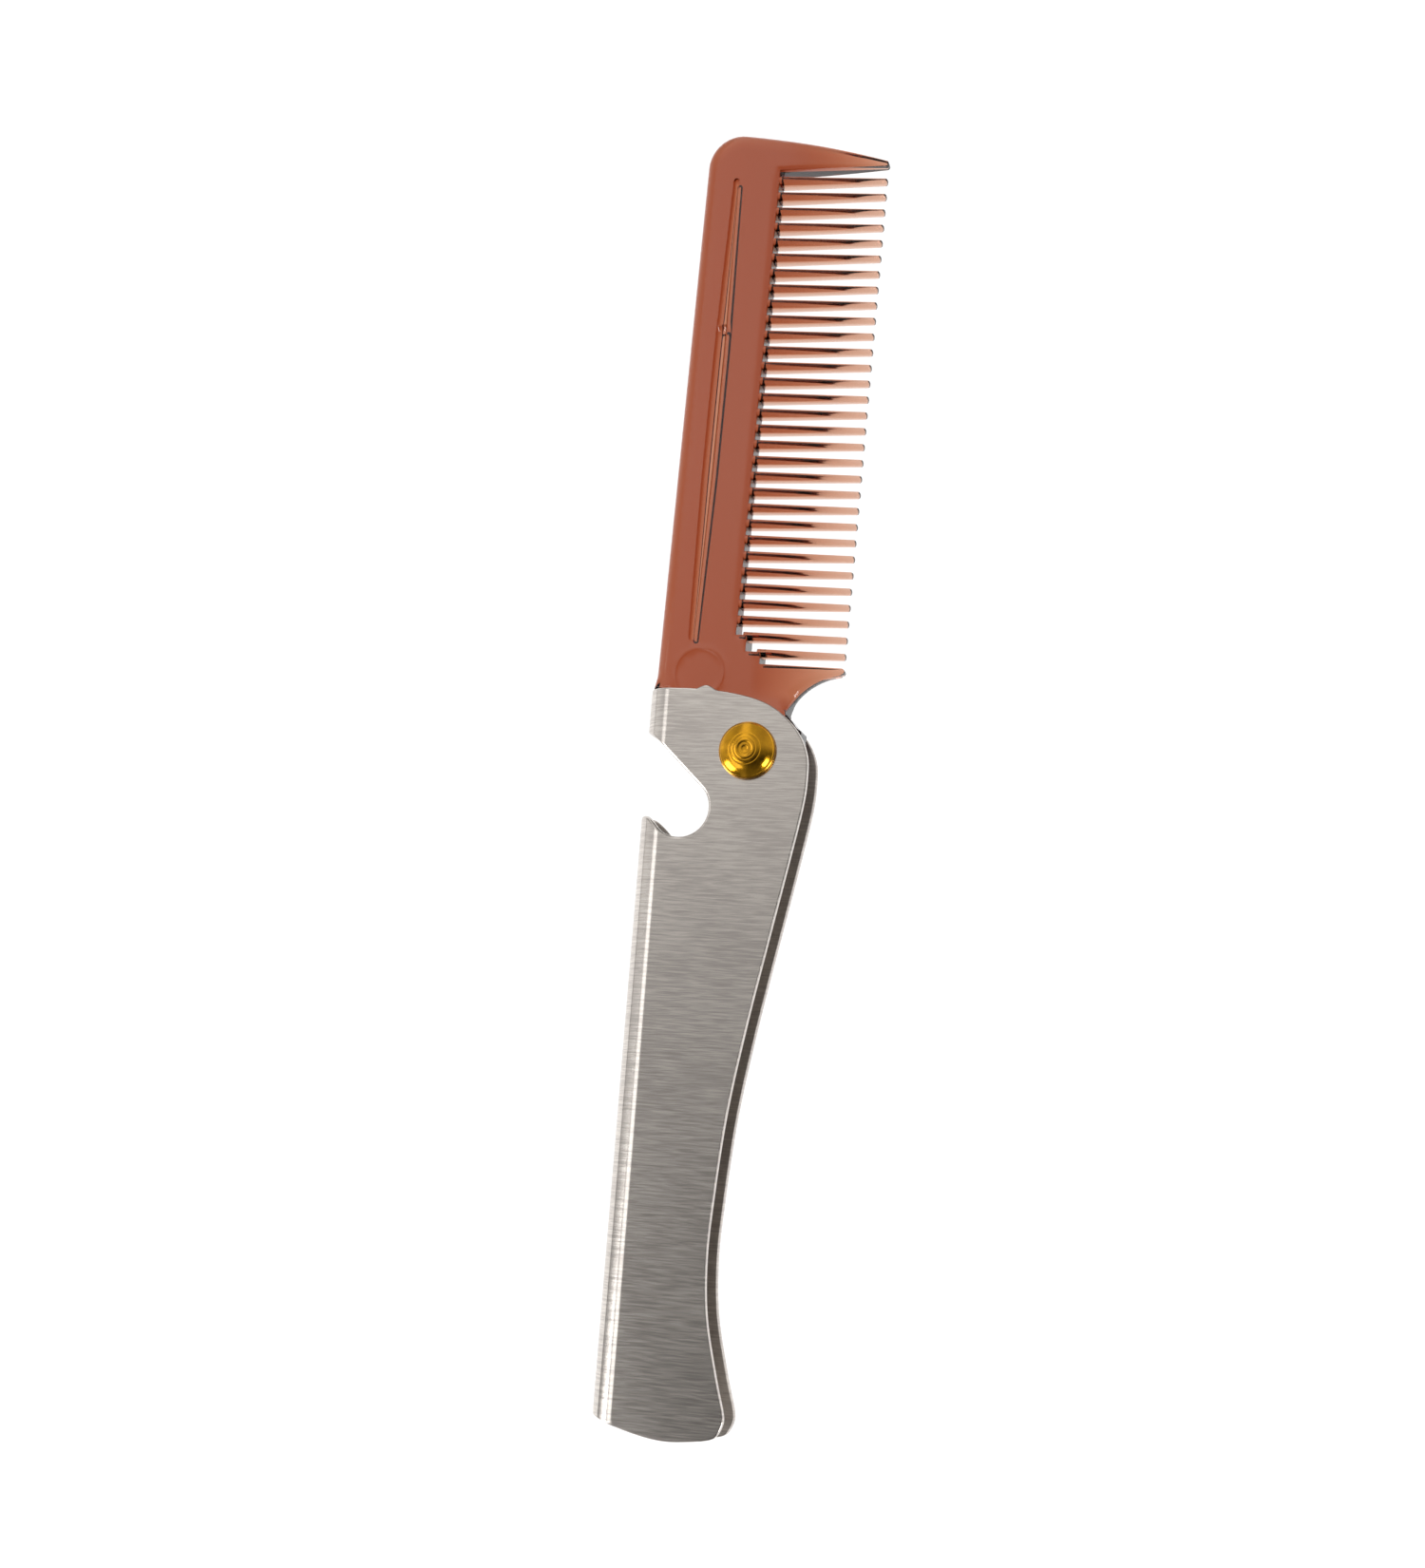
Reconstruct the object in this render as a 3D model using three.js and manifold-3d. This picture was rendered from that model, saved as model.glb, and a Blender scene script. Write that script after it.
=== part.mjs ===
// Folding beard comb: a U-shaped sheet steel handle with a bottle-opener notch, and a plastic comb
// that turns between the handle's plates on a brass rivet. Millimetres, +Z up.
// The handle lies along Y with its spine at -X, and the comb's teeth point to +X. The parts are
// drawn with zero on the rivet's axis, midway between the plates, and the group then moves them so
// that the origin is the centre of the bounding box's underside.
import * as THREE from 'three';
import { mergeVertices } from 'three/addons/utils/BufferGeometryUtils.js';
import Module from 'manifold-3d';

const wasm = await Module();
wasm.setup();

// Handle
const SHEET = 1.0;               // sheet thickness
const HANDLE_THICKNESS = 7.2;    // over both plates; the spine is a full round of this width
const SPINE_X = -15.23;          // outer face of the spine
const HANDLE_TOP = 8.65;
const HANDLE_MARGIN = 5;         // how far a blank or a cutter runs past what it cuts
const BEND_SEGMENTS = 28;

// Bottle-opener notch
const NOTCH_CENTRE = { x: -9.1, y: -8.1 };
const NOTCH_RADIUS = 4.1;
const NOTCH_START = THREE.MathUtils.degToRad(44);    // where the slanted edge meets the arc
const NOTCH_END = THREE.MathUtils.degToRad(-138);    // where the arc runs out to the cap hook
const NOTCH_SLANT = { x: -12.1, y: 0.4 };            // top of the slanted edge, at the bend
const NOTCH_MOUTH_TOP = 3.0;
const HOOK_TIP = { x: -14.2, y: -9.35 };

// Comb, in its own frame: x away from its back, y along it
const COMB_LEAN = THREE.MathUtils.degToRad(1.064);   // the open comb leans from the spine
const COMB_THICKNESS = 3.9;
const COMB_BACK = -14.75;
const COMB_TOP = 91.2;
const COMB_CORNER = 4.9;
const TOP_CURVE = { x: -1.6, y: 90.4 };              // control point of the top edge
const GUARD_TOP_Y = 87.05;                           // upper guard's tip, its top side
const GUARD_TIP_WIDTH = 0.85;

// Teeth
const TOOTH_TIP = 11.85;
const TOOTH_ROOT = -3.75;
const TOOTH_COUNT = 31;
const TOOTH_PITCH = 2.322;
const FIRST_TOOTH = 14.38;                           // the tooth nearest the rivet
const TOOTH_SIDES = 8;
const ROOT_WIDTH = 1.42;
const TIP_WIDTH = 1.0;
const ROOT_DEPTH = 3.4;
const TIP_DEPTH = 1.3;
const TOOTH_EMBED = 0.6;                             // how far a tooth runs into the comb's body
const SHORT_ROOT_1 = 0.0;                            // the two gaps nearest the rivet are shorter
const SHORT_ROOT_2 = -2.15;
const LAST_GAP = 0.75;                               // the gap above the last tooth, in pitches

// Tang and lower guard
const TANG_BACK = -13.2;                             // clears the rounded inside of the spine
const TANG_SHOULDER = 8.48;                          // the step that stops on the handle's top edge
const TANG_RADIUS = 7.2;
const TANG_SLANT = THREE.MathUtils.degToRad(-133.6); // where the slanted edge leaves the round end
const GUARD_ARC = { x: 12.74, y: 2.75, radius: 8.97 };
const GUARD_ARC_START = THREE.MathUtils.degToRad(98.6);
const GUARD_ARC_END = THREE.MathUtils.degToRad(160.4);
const TANG_ROUND_START = THREE.MathUtils.degToRad(53.4);
const GUARD_EDGE = 12.66;                            // straight upper edge of the lower guard

// Sunk groove along the comb, on both faces
const GROOVE_X = -10.05;
const GROOVE_START = 16.0;
const GROOVE_END = 83.8;
const GROOVE_WIDTH = 1.7;
const GROOVE_END_WIDTH = 0.9;
const GROOVE_DEPTH = 0.8;

// Rivet and washers
const POST_RADIUS = 2.0;
const POST_SIDES = 48;
const HEAD_RADIUS = 4.0;
const HEAD_HEIGHT = 1.85;
const HEAD_FLAT = 1.2;                               // radius of the small flat on the dome
const HEAD_RIM = 0.25;                               // height of the straight side under the dome
const DOME_STEPS = 8;
const CAP_HEIGHT = 1.1;
const CAP_FLAT = 2.8;
const CAP_RIM = 0.3;                                 // height of the bevel and of the straight side
const WASHER_RADIUS = 5.0;
const RUNNING_CLEARANCE = 0.06;                      // radial, round the post
const FACE_GAP = 0.05;                               // between faces that lie on each other

// Place of the rivet's axis from the origin
const PIVOT_X = 0.89;
const PIVOT_Y = 0.43;

const HALF_HANDLE = HANDLE_THICKNESS / 2;
const HALF_INNER = HALF_HANDLE - SHEET;
const HALF_COMB = COMB_THICKNESS / 2;
const MID_Z = CAP_HEIGHT + FACE_GAP + HALF_HANDLE;
const WASHER_THICKNESS = HALF_INNER - HALF_COMB - 2 * FACE_GAP;

function toManifold(geometry) {
  const bare = geometry.clone();
  bare.deleteAttribute('normal');
  bare.deleteAttribute('uv');
  const merged = mergeVertices(bare, 1e-4);
  return new wasm.Manifold(new wasm.Mesh({
    numProp: 3,
    vertProperties: new Float32Array(merged.attributes.position.array),
    triVerts: new Uint32Array(merged.index.array),
  }));
}

function toGeometry(manifold) {
  const mesh = manifold.getMesh();
  const geometry = new THREE.BufferGeometry();
  geometry.setAttribute('position', new THREE.BufferAttribute(mesh.vertProperties, 3));
  geometry.setIndex(new THREE.BufferAttribute(mesh.triVerts, 1));
  geometry.computeVertexNormals();
  return geometry;
}

// A flat shape made into a solid between two heights.
function slab(shape, zLow, zHigh, curveSegments = 12) {
  const settings = { depth: zHigh - zLow, bevelEnabled: false, curveSegments };
  return new THREE.ExtrudeGeometry(shape, settings).translate(0, 0, zLow);
}

// A solid of revolution about Z from a profile of [radius, z] points.
function turned(profile) {
  const points = profile.map(([radius, z]) => new THREE.Vector2(radius, z));
  return new THREE.LatheGeometry(points, POST_SIDES).rotateX(Math.PI / 2);
}

function postHole(radius) {
  const hole = new THREE.CylinderGeometry(radius, radius, 4 * HANDLE_THICKNESS, POST_SIDES);
  return toManifold(hole.rotateX(Math.PI / 2));
}

// The U-shaped section, closed at the spine and open towards +X.
function channelSection() {
  const bendX = SPINE_X + HALF_HANDLE;
  const openX = TOOTH_TIP + HANDLE_MARGIN;
  const section = new THREE.Shape();
  section.moveTo(openX, HALF_HANDLE);
  section.lineTo(bendX, HALF_HANDLE);
  section.absarc(bendX, 0, HALF_HANDLE, Math.PI / 2, 3 * Math.PI / 2, false);
  section.lineTo(openX, -HALF_HANDLE);
  section.lineTo(openX, -HALF_INNER);
  section.lineTo(bendX, -HALF_INNER);
  section.absarc(bendX, 0, HALF_INNER, 3 * Math.PI / 2, Math.PI / 2, true);
  section.lineTo(openX, HALF_INNER);
  section.closePath();
  return section;
}

// The handle seen from the front: round at the rivet, waisted for the thumb, flared at the end.
function handleOutline() {
  const point = (x, y) => new THREE.Vector2(x, y);
  const outside = SPINE_X - HANDLE_MARGIN;
  const outline = new THREE.Shape();
  outline.moveTo(outside, HANDLE_TOP);
  outline.lineTo(-9, HANDLE_TOP);
  outline.splineThru([
    point(-4.3, 8.3), point(-0.2, 7.55), point(2.8, 6.4), point(5.3, 4.55),
    point(7.2, 2.3), point(8.3, -0.2), point(8.55, -2.8), point(8.3, -7),
    point(6.92, -14.9), point(4.7, -26.6), point(2.56, -38.2), point(0.83, -49.7),
    point(-0.1, -61), point(-0.38, -68.5), point(0.2, -75.8), point(1.9, -83), point(3.25, -87.6),
  ]);
  outline.splineThru([point(3.45, -89.3), point(2.5, -91.2), point(0.6, -91.85)]);
  outline.splineThru([point(-4.8, -92.3), point(-11.2, -91.1), point(outside, -88.2)]);
  outline.closePath();
  return outline;
}

// The bottle-opener notch: a slanted upper edge, a round throat and the cap hook's edge.
function notchOutline() {
  const outside = SPINE_X - HANDLE_MARGIN;
  const notch = new THREE.Shape();
  notch.moveTo(outside, NOTCH_MOUTH_TOP + HANDLE_MARGIN / 2);
  notch.lineTo(NOTCH_SLANT.x, NOTCH_SLANT.y);
  notch.absarc(NOTCH_CENTRE.x, NOTCH_CENTRE.y, NOTCH_RADIUS, NOTCH_START, NOTCH_END, true);
  notch.lineTo(HOOK_TIP.x, HOOK_TIP.y);
  notch.lineTo(outside, HOOK_TIP.y);
  notch.closePath();
  return notch;
}

function handleChannel() {
  const length = 2 * COMB_TOP;
  const bar = slab(channelSection(), 0, length, BEND_SEGMENTS).rotateX(Math.PI / 2);
  const blank = toManifold(bar.translate(0, HANDLE_TOP + HANDLE_MARGIN, 0));
  const plates = toManifold(slab(handleOutline(), -HANDLE_THICKNESS, HANDLE_THICKNESS, 3));
  const notch = toManifold(slab(notchOutline(), -HANDLE_THICKNESS, HANDLE_THICKNESS, 20));
  const hole = postHole(POST_RADIUS + FACE_GAP);
  return toGeometry(blank.intersect(plates).subtract(notch).subtract(hole));
}

// The comb without its teeth: back, upper guard, root line, lower guard and tang.
function combOutline() {
  const halfTip = GUARD_TIP_WIDTH / 2;
  const slantX = TANG_RADIUS * Math.cos(TANG_SLANT);
  const slantY = TANG_RADIUS * Math.sin(TANG_SLANT);
  const slantTop = slantY - (TANG_BACK - slantX) / Math.tan(TANG_SLANT);
  const outline = new THREE.Shape();
  outline.moveTo(COMB_BACK, TANG_SHOULDER);
  outline.lineTo(COMB_BACK, COMB_TOP - COMB_CORNER);
  const corner = [COMB_BACK + COMB_CORNER, COMB_TOP - COMB_CORNER];
  outline.absarc(...corner, COMB_CORNER, Math.PI, Math.PI / 2, true);
  outline.quadraticCurveTo(TOP_CURVE.x, TOP_CURVE.y, TOOTH_TIP - halfTip, GUARD_TOP_Y);
  const upperTip = [TOOTH_TIP - halfTip, GUARD_TOP_Y - halfTip];
  outline.absarc(...upperTip, halfTip, Math.PI / 2, -Math.PI / 2, true);
  outline.lineTo(TOOTH_ROOT, FIRST_TOOTH + (TOOTH_COUNT - 1 + LAST_GAP) * TOOTH_PITCH);
  outline.lineTo(TOOTH_ROOT, FIRST_TOOTH + TOOTH_PITCH);
  outline.lineTo(SHORT_ROOT_2, FIRST_TOOTH + TOOTH_PITCH);
  outline.lineTo(SHORT_ROOT_2, FIRST_TOOTH);
  outline.lineTo(SHORT_ROOT_1, FIRST_TOOTH);
  outline.lineTo(SHORT_ROOT_1, GUARD_EDGE);
  const lowerTip = [TOOTH_TIP - halfTip, GUARD_EDGE - 2 * halfTip];
  outline.lineTo(lowerTip[0], lowerTip[1] + halfTip);
  outline.absarc(...lowerTip, halfTip, Math.PI / 2, -Math.PI / 2, true);
  outline.absarc(GUARD_ARC.x, GUARD_ARC.y, GUARD_ARC.radius, GUARD_ARC_START, GUARD_ARC_END, false);
  outline.absarc(0, 0, TANG_RADIUS, TANG_ROUND_START, TANG_SLANT, true);
  outline.lineTo(TANG_BACK, slantTop);
  outline.lineTo(TANG_BACK, TANG_SHOULDER);
  outline.closePath();
  return outline;
}

// One tooth along +X, lens-shaped in section and tapering to its tip.
function tooth(root, y) {
  const start = root - TOOTH_EMBED;
  const length = TOOTH_TIP - start;
  const geometry = new THREE.CylinderGeometry(0.5, 0.5, length, TOOTH_SIDES, 1);
  geometry.rotateZ(-Math.PI / 2).translate(start + length / 2, 0, 0);
  const position = geometry.attributes.position;
  for (let i = 0; i < position.count; i += 1) {
    const along = (position.getX(i) - TOOTH_ROOT) / (TOOTH_TIP - TOOTH_ROOT);
    position.setY(i, position.getY(i) * THREE.MathUtils.lerp(ROOT_WIDTH, TIP_WIDTH, along));
    position.setZ(i, position.getZ(i) * THREE.MathUtils.lerp(ROOT_DEPTH, TIP_DEPTH, along));
  }
  return toManifold(geometry.translate(0, y, 0));
}

function grooveOutline() {
  const groove = new THREE.Shape();
  const middle = (GROOVE_START + GROOVE_END) / 2;
  const halfEnd = GROOVE_END_WIDTH / 2;
  const bulge = GROOVE_WIDTH - halfEnd;
  groove.moveTo(GROOVE_X - halfEnd, GROOVE_START);
  groove.quadraticCurveTo(GROOVE_X - bulge, middle, GROOVE_X - halfEnd, GROOVE_END);
  groove.absarc(GROOVE_X, GROOVE_END, halfEnd, Math.PI, 0, true);
  groove.quadraticCurveTo(GROOVE_X + bulge, middle, GROOVE_X + halfEnd, GROOVE_START);
  groove.absarc(GROOVE_X, GROOVE_START, halfEnd, 0, Math.PI, true);
  return groove;
}

function combHead() {
  let comb = toManifold(slab(combOutline(), -HALF_COMB, HALF_COMB));
  for (let i = 0; i < TOOTH_COUNT; i += 1) {
    const root = i === 0 ? SHORT_ROOT_1 : i === 1 ? SHORT_ROOT_2 : TOOTH_ROOT;
    comb = comb.add(tooth(root, FIRST_TOOTH + i * TOOTH_PITCH));
  }
  const floor = HALF_COMB - GROOVE_DEPTH;
  comb = comb.subtract(toManifold(slab(grooveOutline(), floor, COMB_THICKNESS)));
  comb = comb.subtract(toManifold(slab(grooveOutline(), -COMB_THICKNESS, -floor)));
  comb = comb.subtract(postHole(POST_RADIUS + RUNNING_CLEARANCE));
  return toGeometry(comb).rotateZ(-COMB_LEAN);
}

// Domed head outside the front plate, with a shallow flat, and the post down to the rear cap.
function rivetFront() {
  const under = HALF_HANDLE + FACE_GAP;
  const rim = under + HEAD_RIM;
  const top = under + HEAD_HEIGHT;
  const dome = [];
  for (let i = 0; i <= DOME_STEPS; i += 1) {
    const angle = (i / DOME_STEPS) * Math.PI / 2;
    const radius = HEAD_FLAT + (HEAD_RADIUS - HEAD_FLAT) * Math.cos(angle);
    dome.push([radius, rim + (top - rim) * Math.sin(angle)]);
  }
  return turned([
    [0, -HALF_HANDLE], [POST_RADIUS, -HALF_HANDLE], [POST_RADIUS, under], [HEAD_RADIUS, under],
    ...dome, [0, top],
  ]);
}

// Low cap pressed on the post's end outside the rear plate. Its flat is what the comb lies on.
function rivetRearCap() {
  const top = -HALF_HANDLE - FACE_GAP;
  const bottom = top - CAP_HEIGHT;
  const bevel = (HEAD_RADIUS - CAP_FLAT) / 2;
  return turned([
    [0, bottom], [CAP_FLAT, bottom], [HEAD_RADIUS - bevel, bottom + CAP_RIM],
    [HEAD_RADIUS, top - CAP_RIM], [HEAD_RADIUS, top], [0, top],
  ]);
}

function washer(side) {
  const ring = new THREE.Shape();
  ring.absarc(0, 0, WASHER_RADIUS, 0, 2 * Math.PI, false);
  const hole = new THREE.Path();
  hole.absarc(0, 0, POST_RADIUS + RUNNING_CLEARANCE, 0, 2 * Math.PI, true);
  ring.holes.push(hole);
  const near = HALF_COMB + FACE_GAP;
  const far = near + WASHER_THICKNESS;
  return side > 0 ? slab(ring, near, far, POST_SIDES / 2) : slab(ring, -far, -near, POST_SIDES / 2);
}

const steel = new THREE.MeshStandardMaterial({ color: 0xb4aca5, roughness: 0.38, metalness: 1 });
const amber = new THREE.MeshStandardMaterial({ color: 0xa35f4e, roughness: 0.2, metalness: 0 });
const brass = new THREE.MeshStandardMaterial({ color: 0xd69d2c, roughness: 0.25, metalness: 1 });
const nylon = new THREE.MeshStandardMaterial({ color: 0xd8d4c8, roughness: 0.55, metalness: 0 });

const group = new THREE.Group();

function addPart(name, geometry, material) {
  const mesh = new THREE.Mesh(geometry, material);
  mesh.name = name;
  group.add(mesh);
}

addPart('handle_channel', handleChannel(), steel);
addPart('comb_head', combHead(), amber);
addPart('rivet_front', rivetFront(), brass);
addPart('rivet_rear_cap', rivetRearCap(), brass);
addPart('washer_front', washer(1), nylon);
addPart('washer_rear', washer(-1), nylon);
group.position.set(PIVOT_X, PIVOT_Y, MID_Z);

export default group;
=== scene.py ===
"""Folding beard comb: a brushed steel handle with a bottle-opener notch, an amber plastic comb and a
brass rivet.

Shapes are drawn in millimetres, with zero on the rivet's axis midway between the handle's plates, and
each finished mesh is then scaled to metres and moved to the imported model's place.
"""

import math

import bmesh
import bpy
import numpy as np
from mathutils import Matrix, Vector
from mathutils.geometry import delaunay_2d_cdt

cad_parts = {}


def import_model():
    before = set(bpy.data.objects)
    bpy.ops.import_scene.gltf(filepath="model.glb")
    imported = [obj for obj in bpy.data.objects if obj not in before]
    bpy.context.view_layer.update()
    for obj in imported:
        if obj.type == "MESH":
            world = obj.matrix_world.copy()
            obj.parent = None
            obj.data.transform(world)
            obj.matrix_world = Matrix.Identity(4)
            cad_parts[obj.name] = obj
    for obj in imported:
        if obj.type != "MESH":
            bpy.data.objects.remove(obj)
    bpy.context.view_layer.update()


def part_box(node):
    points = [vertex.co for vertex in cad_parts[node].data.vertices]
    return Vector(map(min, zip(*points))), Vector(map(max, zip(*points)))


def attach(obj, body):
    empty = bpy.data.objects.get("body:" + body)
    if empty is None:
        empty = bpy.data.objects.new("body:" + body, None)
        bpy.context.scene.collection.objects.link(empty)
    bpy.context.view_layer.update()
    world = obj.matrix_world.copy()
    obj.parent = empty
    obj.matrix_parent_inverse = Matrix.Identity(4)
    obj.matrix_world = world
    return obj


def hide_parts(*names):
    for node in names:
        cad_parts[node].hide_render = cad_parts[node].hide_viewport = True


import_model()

MM = 0.001

# Place of the drawing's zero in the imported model
rivet_low, rivet_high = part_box("rivet_front")
handle_low, handle_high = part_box("handle_channel")
PIVOT = Vector((
    (rivet_low.x + rivet_high.x) / 2,
    (rivet_low.y + rivet_high.y) / 2,
    (handle_low.z + handle_high.z) / 2,
))

# Handle
SHEET = 1.0
HALF_HANDLE = 3.6                # half the thickness over both plates, and the spine's radius
SPINE_X = -15.23
BEND_X = SPINE_X + HALF_HANDLE   # centre of the bend
BEND_LENGTH = HALF_HANDLE * math.pi / 2
HANDLE_TOP = 8.65
PLATE_EDGE = 0.22                # radius on the plates' edges
NOTCH_EDGE = 0.38                # the notch is polished rounder
NIB_X = -6.55                    # small rise on the front plate's top edge
NIB_HALF = 1.5
NIB_HEIGHT = 0.62
NIB_ROUNDNESS = 1.5
PLATE_HOLE = 2.05
TOP_EDGE_LOW = 7.5               # the part of the top edge that can carry the nib is above this
INNER_FACE = "inner_face"        # 1 on the sheet's inner face, which isn't brushed
GRID_LOW, GRID_HIGH = -92, 9     # the handle's inner mesh points lie between these heights
PLATE_GRID = 3                   # their spacing on the plates
BEND_GRID = 1.5                  # and along the bend
BEND_COLUMNS = 41
SHEET_MAP = 110                  # side of the square that the flat sheet is laid out on
SHEET_MAP_LOW = 95               # how far that square reaches below the rivet

# Bottle-opener notch
NOTCH_CENTRE = (-9.1, -8.1)
NOTCH_RADIUS = 4.1
NOTCH_START = math.radians(44)
NOTCH_END = math.radians(-138)
NOTCH_SLANT = (-12.1, 0.4)
NOTCH_CROWN = 2.45               # top of the notch in the middle of the spine
HOOK_TIP = (-14.2, -9.35)

# Comb
COMB_LEAN = math.radians(1.064)
HALF_COMB = 1.95
COMB_BACK = -14.75
COMB_TOP = 91.2
COMB_CORNER = 4.9
TOP_CONTROL = (-1.6, 90.4)
GUARD_TOP_Y = 87.05
GUARD_TIP = 0.425                # half width of the guards' tips
GUARD_TIP_DEPTH = 0.42           # share of the comb's thickness left at the guards' tips
GUARD_CREASE = -0.9              # where the lower guard starts to grow thinner
GUARD_TAPER = 1.6                # exponent of the upper guard's thinning
LOWER_GUARD_LOW = 7              # the lower guard's thinning fades in above this
LOWER_GUARD_BLEND = 1.5
BACK_EDGE = 1.5                  # radius on the comb's back and top edges
ROOT_EDGE = 0.28                 # radius on its other edges
GAP_EDGE = 0.6                   # radius at the ends of the gaps between teeth
TIP_EDGE = 0.3                   # radius at the guards' tips
HOLE_EDGE = 0.12
TOP_EDGE_REACH = 8               # how far the top's large radius runs past the teeth's roots
UNDER_GUARD_X = 5                # where the radius under the lower guard starts to shrink
CORNER_SLOPE = 0.6               # how fast a radius may grow away from a sharp inner corner
EDGE_STEPS = 5
SMOOTHING_ROUNDS = 8             # blends one radius into the next along the edge
HAIR = 0.1                       # for telling one straight edge from the next
COMB_GRID = 0.9                  # spacing of the comb's inner mesh points
COMB_GRID_MARGIN = 0.35

# Teeth
TOOTH_TIP = 11.85
TOOTH_ROOT = -3.75
TOOTH_COUNT = 31
TOOTH_PITCH = 2.322
FIRST_TOOTH = 14.38
ROOT_WIDTH = 1.42
TIP_WIDTH = 1.0
ROOT_DEPTH = 3.4
TIP_DEPTH = 1.3
TOOTH_EMBED = 0.6
TOOTH_ROUND = 0.38               # length of a tooth's rounded end
TOOTH_SECTION = 2.4              # exponent of the rounded section
TOOTH_SIDES = 24
STRAIGHT_ROWS = 9
ROUND_ROWS = 5
ROUND_START, ROUND_END = 0.25, 1.45
END_ROUNDNESS = 2.4
SHORT_ROOT_1 = 0.0               # the two gaps nearest the rivet are shorter
SHORT_ROOT_2 = -2.15
LAST_GAP_CUT = 0.4               # so is the gap above the last tooth, by this share of a pitch

# Tang and lower guard
TANG_BACK = -13.2
TANG_SHOULDER = 8.48
TANG_RADIUS = 7.2
TANG_SLANT = math.radians(-133.6)
TANG_ROUND_START = math.radians(53.4)
GUARD_ARC = (12.74, 2.75)
GUARD_ARC_RADIUS = 8.97
GUARD_ARC_START = math.radians(98.6)
GUARD_ARC_END = math.radians(160.4)
GUARD_EDGE = 12.66
NUB_ANGLE = math.radians(26)     # small moulding nub on the tang's round end
NUB_HEIGHT = 0.45
NUB_SPREAD = math.radians(3.6)

# Sunk groove on both faces, with a small ridge across it, and the moulding's ring mark
GROOVE_X = -10.05
GROOVE_START = 15.6
GROOVE_END = 84.2
GROOVE_HALF = 0.86
GROOVE_DEPTH = 0.8
GROOVE_ROUND = 0.5               # length of its rounded ends
GROOVE_ROWS = 161
GROOVE_COLUMNS = 17
COLUMN_CROWDING = 0.75           # under 1 crowds the columns towards the groove's sides
FLOOR_EXPONENT = 2.4             # of the groove's section
WALL_EXPONENT = 0.6
RIDGE_Y = 61.8
RIDGE_SHARE = 0.85               # how much of the groove's depth the ridge fills
RIDGE_SPREAD = 0.32
GROOVE_WIDTHS = ((GROOVE_START, 0.55), (40, 1), (58, 1), (RIDGE_Y, 0.95), (GROOVE_END, 0.5))
RING_MARK = (-8.4, 11.0)
RING_RADIUS = 3.5
RING_HEIGHT = 0.12
RING_SPREAD = 0.11
RING_ROW_GAP = 0.09              # between the mesh rows that follow the ring
RING_CLEARANCE = 0.6             # kept free of the grid's points
RING_MARGIN = 0.3                # kept free of the ring's points, along the comb's edge

# Rivet and washers
POST_RADIUS = 2.0
HEAD_RADIUS = 4.0
HEAD_HEIGHT = 1.85
HEAD_RIM = 0.3                   # height of the straight side under the dome
HEAD_ROUNDNESS = 2.7             # exponent of the dome's curve: 2 is an ellipse, more is flatter on top
HEAD_ROWS = 90
TURNED_RINGS = ((2.1, 0.1, 0.035), (1.5, 0.09, 0.02))    # radius, spread and depth of each
SUNK_STEPS = ((1.0, 0.06, 0.07), (0.4, 0.05, 0.04))      # the same for the steps down at the apex
CAP_HEIGHT = 1.1
CAP_FLAT = 2.8
CAP_RIM = 0.3                    # height of the bevel's start above the flat, and of the straight side
PEEN_RADIUS = 1.1
PEEN_DEPTH = 0.12
WASHER_RADIUS = 5.0
WASHER_HOLE = 2.06
WASHER_INNER_EDGE = 0.1
WASHER_OUTER_EDGE = 0.15
FACE_GAP = 0.05
TURN_STEPS = 128
SHARP_ANGLE = math.radians(50)   # edges over this stay sharp


# ---- lines in the drawing's plane -------------------------------------------------------------------

def arc(centre, radius, start, end, spacing=0.4):
    steps = max(2, round(abs(end - start) * radius / spacing))
    angles = np.linspace(start, end, steps + 1)
    return np.column_stack((centre[0] + radius * np.cos(angles), centre[1] + radius * np.sin(angles)))


def line(start, end, spacing=0.6):
    steps = max(1, round(math.dist(start, end) / spacing))
    return np.linspace(start, end, steps + 1)


def curve(start, control, end, spacing=0.5):
    steps = max(2, round(math.dist(start, end) / spacing))
    t = np.linspace(0, 1, steps + 1)[:, None]
    a, b, c = np.array(start), np.array(control), np.array(end)
    return (1 - t) ** 2 * a + 2 * t * (1 - t) * b + t ** 2 * c


def spline(points, spacing=0.5):
    """A Catmull-Rom line through the points."""
    points = np.array(points, float)
    padded = np.vstack((points[:1], points, points[-1:]))
    pieces = []
    for i in range(len(points) - 1):
        before, start, end, after = padded[i:i + 4]
        steps = max(2, round(math.dist(start, end) / spacing))
        t = np.linspace(0, 1, steps + 1)[:, None]
        pieces.append(
            start * (2 * t ** 3 - 3 * t ** 2 + 1)
            + end * (3 * t ** 2 - 2 * t ** 3)
            + (end - before) / 2 * (t ** 3 - 2 * t ** 2 + t)
            + (after - start) / 2 * (t ** 3 - t ** 2)
        )
    return joined(*pieces)


def joined(*pieces):
    """One line from several, without the points they share."""
    points = [pieces[0][0]]
    for piece in pieces:
        for point in piece:
            if math.dist(point, points[-1]) > 1e-4:
                points.append(point)
    return np.array(points)


def closed(points):
    """A closed line without its repeated last point."""
    return points[:-1] if math.dist(points[0], points[-1]) < 1e-4 else points


def inside(loop, points):
    x, y = points[:, 0:1], points[:, 1:2]
    ax, ay = loop[:, 0], loop[:, 1]
    bx, by = np.roll(ax, -1), np.roll(ay, -1)
    crosses = (ay > y) != (by > y)
    rise = np.where(by == ay, 1.0, by - ay)
    return (crosses & (x < ax + (y - ay) * (bx - ax) / rise)).sum(1) % 2 == 1


def nearest(loop, points):
    """Distance from each point to the nearest corner of the loop."""
    gaps = points[:, None, :] - loop[None, :, :]
    return np.sqrt((gaps ** 2).sum(2)).min(1)


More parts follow.
